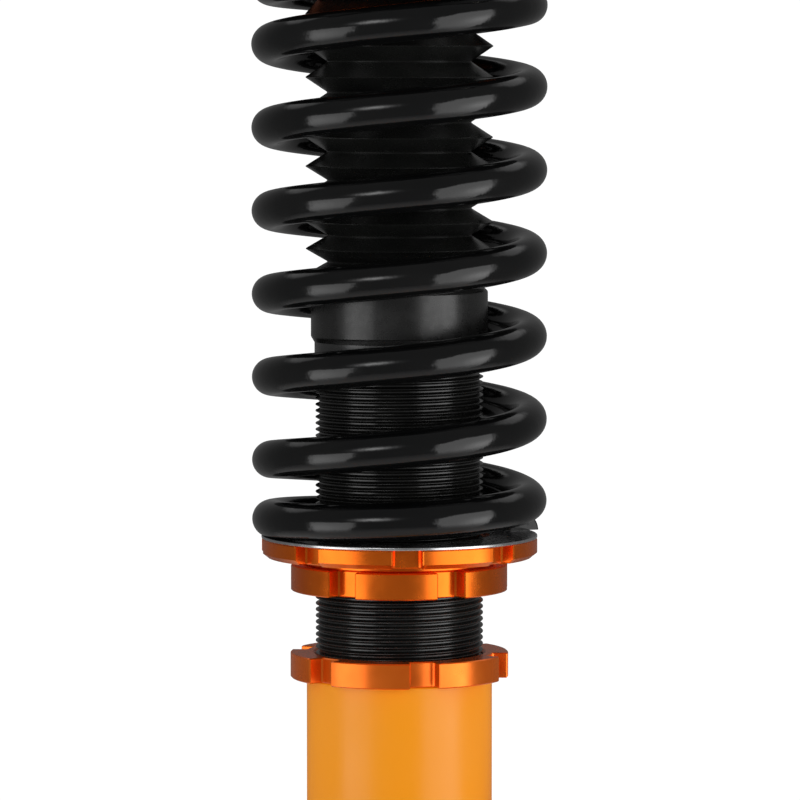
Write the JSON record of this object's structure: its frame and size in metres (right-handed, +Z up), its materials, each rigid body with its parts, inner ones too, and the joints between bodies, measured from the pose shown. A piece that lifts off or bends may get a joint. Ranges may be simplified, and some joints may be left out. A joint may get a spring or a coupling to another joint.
{
  "type": "coilover",
  "caption": "Threaded-body strut coilover: adjustable two-bolt lower bracket, coil spring on a screw-adjusted seat, dust boot and pillow-ball camber top mount.",
  "frame": {"origin": "on the damper axis, in the camber plate's upper face, which bolts up under the strut tower", "axes": "+Z up along the damper axis; +Y along the knuckle bolts; +X outboard, from the axis to the knuckle ears"},
  "size_m": [0.1402, 0.122, 0.454],
  "materials": {
    "orange_paint": "glossy",
    "gold_anodised": "anodised",
    "rubber_boot": "satin",
    "black_body": "satin black",
    "black_cap": "satin black",
    "black_coil": "gloss powder coat",
    "washer_steel": "satin",
    "chromed_rod": "polished",
    "machined_aluminium": "machined",
    "bearing_steel": "ground",
    "bronze": "satin",
    "seal_rubber": "matte",
    "white_band": "matte",
    "foam": "microcellular foam",
    "zinc_steel": "zinc plated",
    "black_bolt": "black oxide",
    "plate_black": "satin black",
    "housing_aluminium": "anodised"
  },
  "bodies": {
    "lower_bracket": {"bracket_tube": "orange_paint", "tube_end_plate": "orange_paint", "knuckle_bracket": "orange_paint", "hose_bracket": "orange_paint"},
    "lower_lock": {"lower_lock_ring": "gold_anodised"},
    "height_carrier": {"dust_boot": "rubber_boot"},
    "damper_body": {"threaded_body": "black_body", "base_plug": "machined_aluminium", "rod_guide": "machined_aluminium", "guide_bush": "bronze", "rod_seal": "seal_rubber", "wiper_seal": "seal_rubber", "gland_cap": "black_cap"},
    "gas_separator": {"floating_piston": "machined_aluminium", "floating_piston_ring": "seal_rubber"},
    "seat_carrier": {"spring_washer": "washer_steel", "coil_spring": "black_coil"},
    "seat": {"spring_seat": "gold_anodised"},
    "seat_lock": {"seat_lock_ring": "gold_anodised"},
    "rod": {"piston_rod": "chromed_rod", "piston": "machined_aluminium", "piston_band": "white_band", "compression_shims": "bearing_steel", "rebound_shims": "bearing_steel", "piston_nut": "zinc_steel", "bump_stop": "foam", "bearing_race_upper": "bearing_steel", "bearing_collar": "zinc_steel", "pillow_ball": "bearing_steel", "top_spacer": "zinc_steel", "rod_washer": "washer_steel", "rod_nut": "zinc_steel"},
    "upper_seat": {"upper_spring_seat": "gold_anodised", "bearing_race_lower": "bearing_steel"},
    "thrust_rollers": {"roller_cage": "white_band", "bearing_rollers": "bearing_steel"},
    "ball_races": {"pillow_race_lower": "bronze", "pillow_race_upper": "bronze"},
    "mount_housing": {"pillow_housing": "housing_aluminium", "snap_ring": "washer_steel", "camber_bolts": "black_bolt", "camber_washers": "washer_steel"},
    "top_plate": {"camber_plate": "plate_black", "mounting_studs": "zinc_steel"},
    "adjuster": {"adjuster_knob": "gold_anodised", "adjuster_rod": "zinc_steel"}
  },
  "joints": [
    {"name": "lower_lock_turn", "type": "hinge", "parent": "lower_bracket", "child": "lower_lock", "pos_m": [0, 0, -0.27], "axis": [0, 0, 1], "range_deg": [0, 45]},
    {"name": "height_travel", "type": "slide", "parent": "lower_bracket", "child": "height_carrier", "axis": [0, 0, 1], "range_m": [-0.008, 0.04]},
    {"name": "height_turn", "type": "hinge", "parent": "height_carrier", "child": "damper_body", "pos_m": [0, 0, -0.224], "axis": [0, 0, 1], "range_deg": [-1440, 7200]},
    {"name": "gas_travel", "type": "slide", "parent": "damper_body", "child": "gas_separator", "axis": [0, 0, 1], "range_m": [-0.0138, 0]},
    {"name": "seat_travel", "type": "slide", "parent": "damper_body", "child": "seat_carrier", "axis": [0, 0, 1], "range_m": [-0.01, 0]},
    {"name": "seat_turn", "type": "hinge", "parent": "seat_carrier", "child": "seat", "pos_m": [0, 0, -0.232], "axis": [0, 0, 1], "range_deg": [-1800, 0]},
    {"name": "seat_lock_turn", "type": "hinge", "parent": "seat_carrier", "child": "seat_lock", "pos_m": [0, 0, -0.242], "axis": [0, 0, 1], "range_deg": [-1800, 0]},
    {"name": "stroke", "type": "slide", "parent": "height_carrier", "child": "rod", "axis": [0, 0, 1], "range_m": [-0.06, 0], "stiffness_N_per_m": 58800, "deforming": ["coil_spring", "dust_boot"]},
    {"name": "upper_seat_swivel", "type": "hinge", "parent": "rod", "child": "upper_seat", "pos_m": [0, 0, -0.041], "axis": [0, 0, 1], "continuous": true},
    {"name": "roller_orbit", "type": "hinge", "parent": "rod", "child": "thrust_rollers", "pos_m": [0, 0, -0.04], "axis": [0, 0, 1], "continuous": true},
    {"name": "pillow_tilt", "type": "hinge", "parent": "rod", "child": "ball_races", "pos_m": [0, 0, -0.018], "axis": [0, 1, 0], "range_deg": [-8, 8]},
    {"name": "pillow_turn", "type": "hinge", "parent": "ball_races", "child": "mount_housing", "pos_m": [0, 0, -0.018], "axis": [0, 0, 1], "continuous": true},
    {"name": "camber_slide", "type": "slide", "parent": "mount_housing", "child": "top_plate", "axis": [1, 0, 0], "range_m": [-0.01, 0.01]},
    {"name": "adjuster_turn", "type": "hinge", "parent": "rod", "child": "adjuster", "pos_m": [0, 0, 0.023], "axis": [0, 0, 1], "range_deg": [0, 480]}
  ],
  "couplings": [
    {"joint": "height_turn", "follows": "height_travel", "rad_per_m": 3141.6},
    {"joint": "seat_turn", "follows": "seat_travel", "rad_per_m": 3141.6},
    {"joint": "seat_lock_turn", "follows": "seat_travel", "rad_per_m": 3141.6},
    {"joint": "gas_travel", "follows": "stroke", "ratio": 0.2287},
    {"joint": "roller_orbit", "follows": "upper_seat_swivel", "ratio": 0.5}
  ]
}
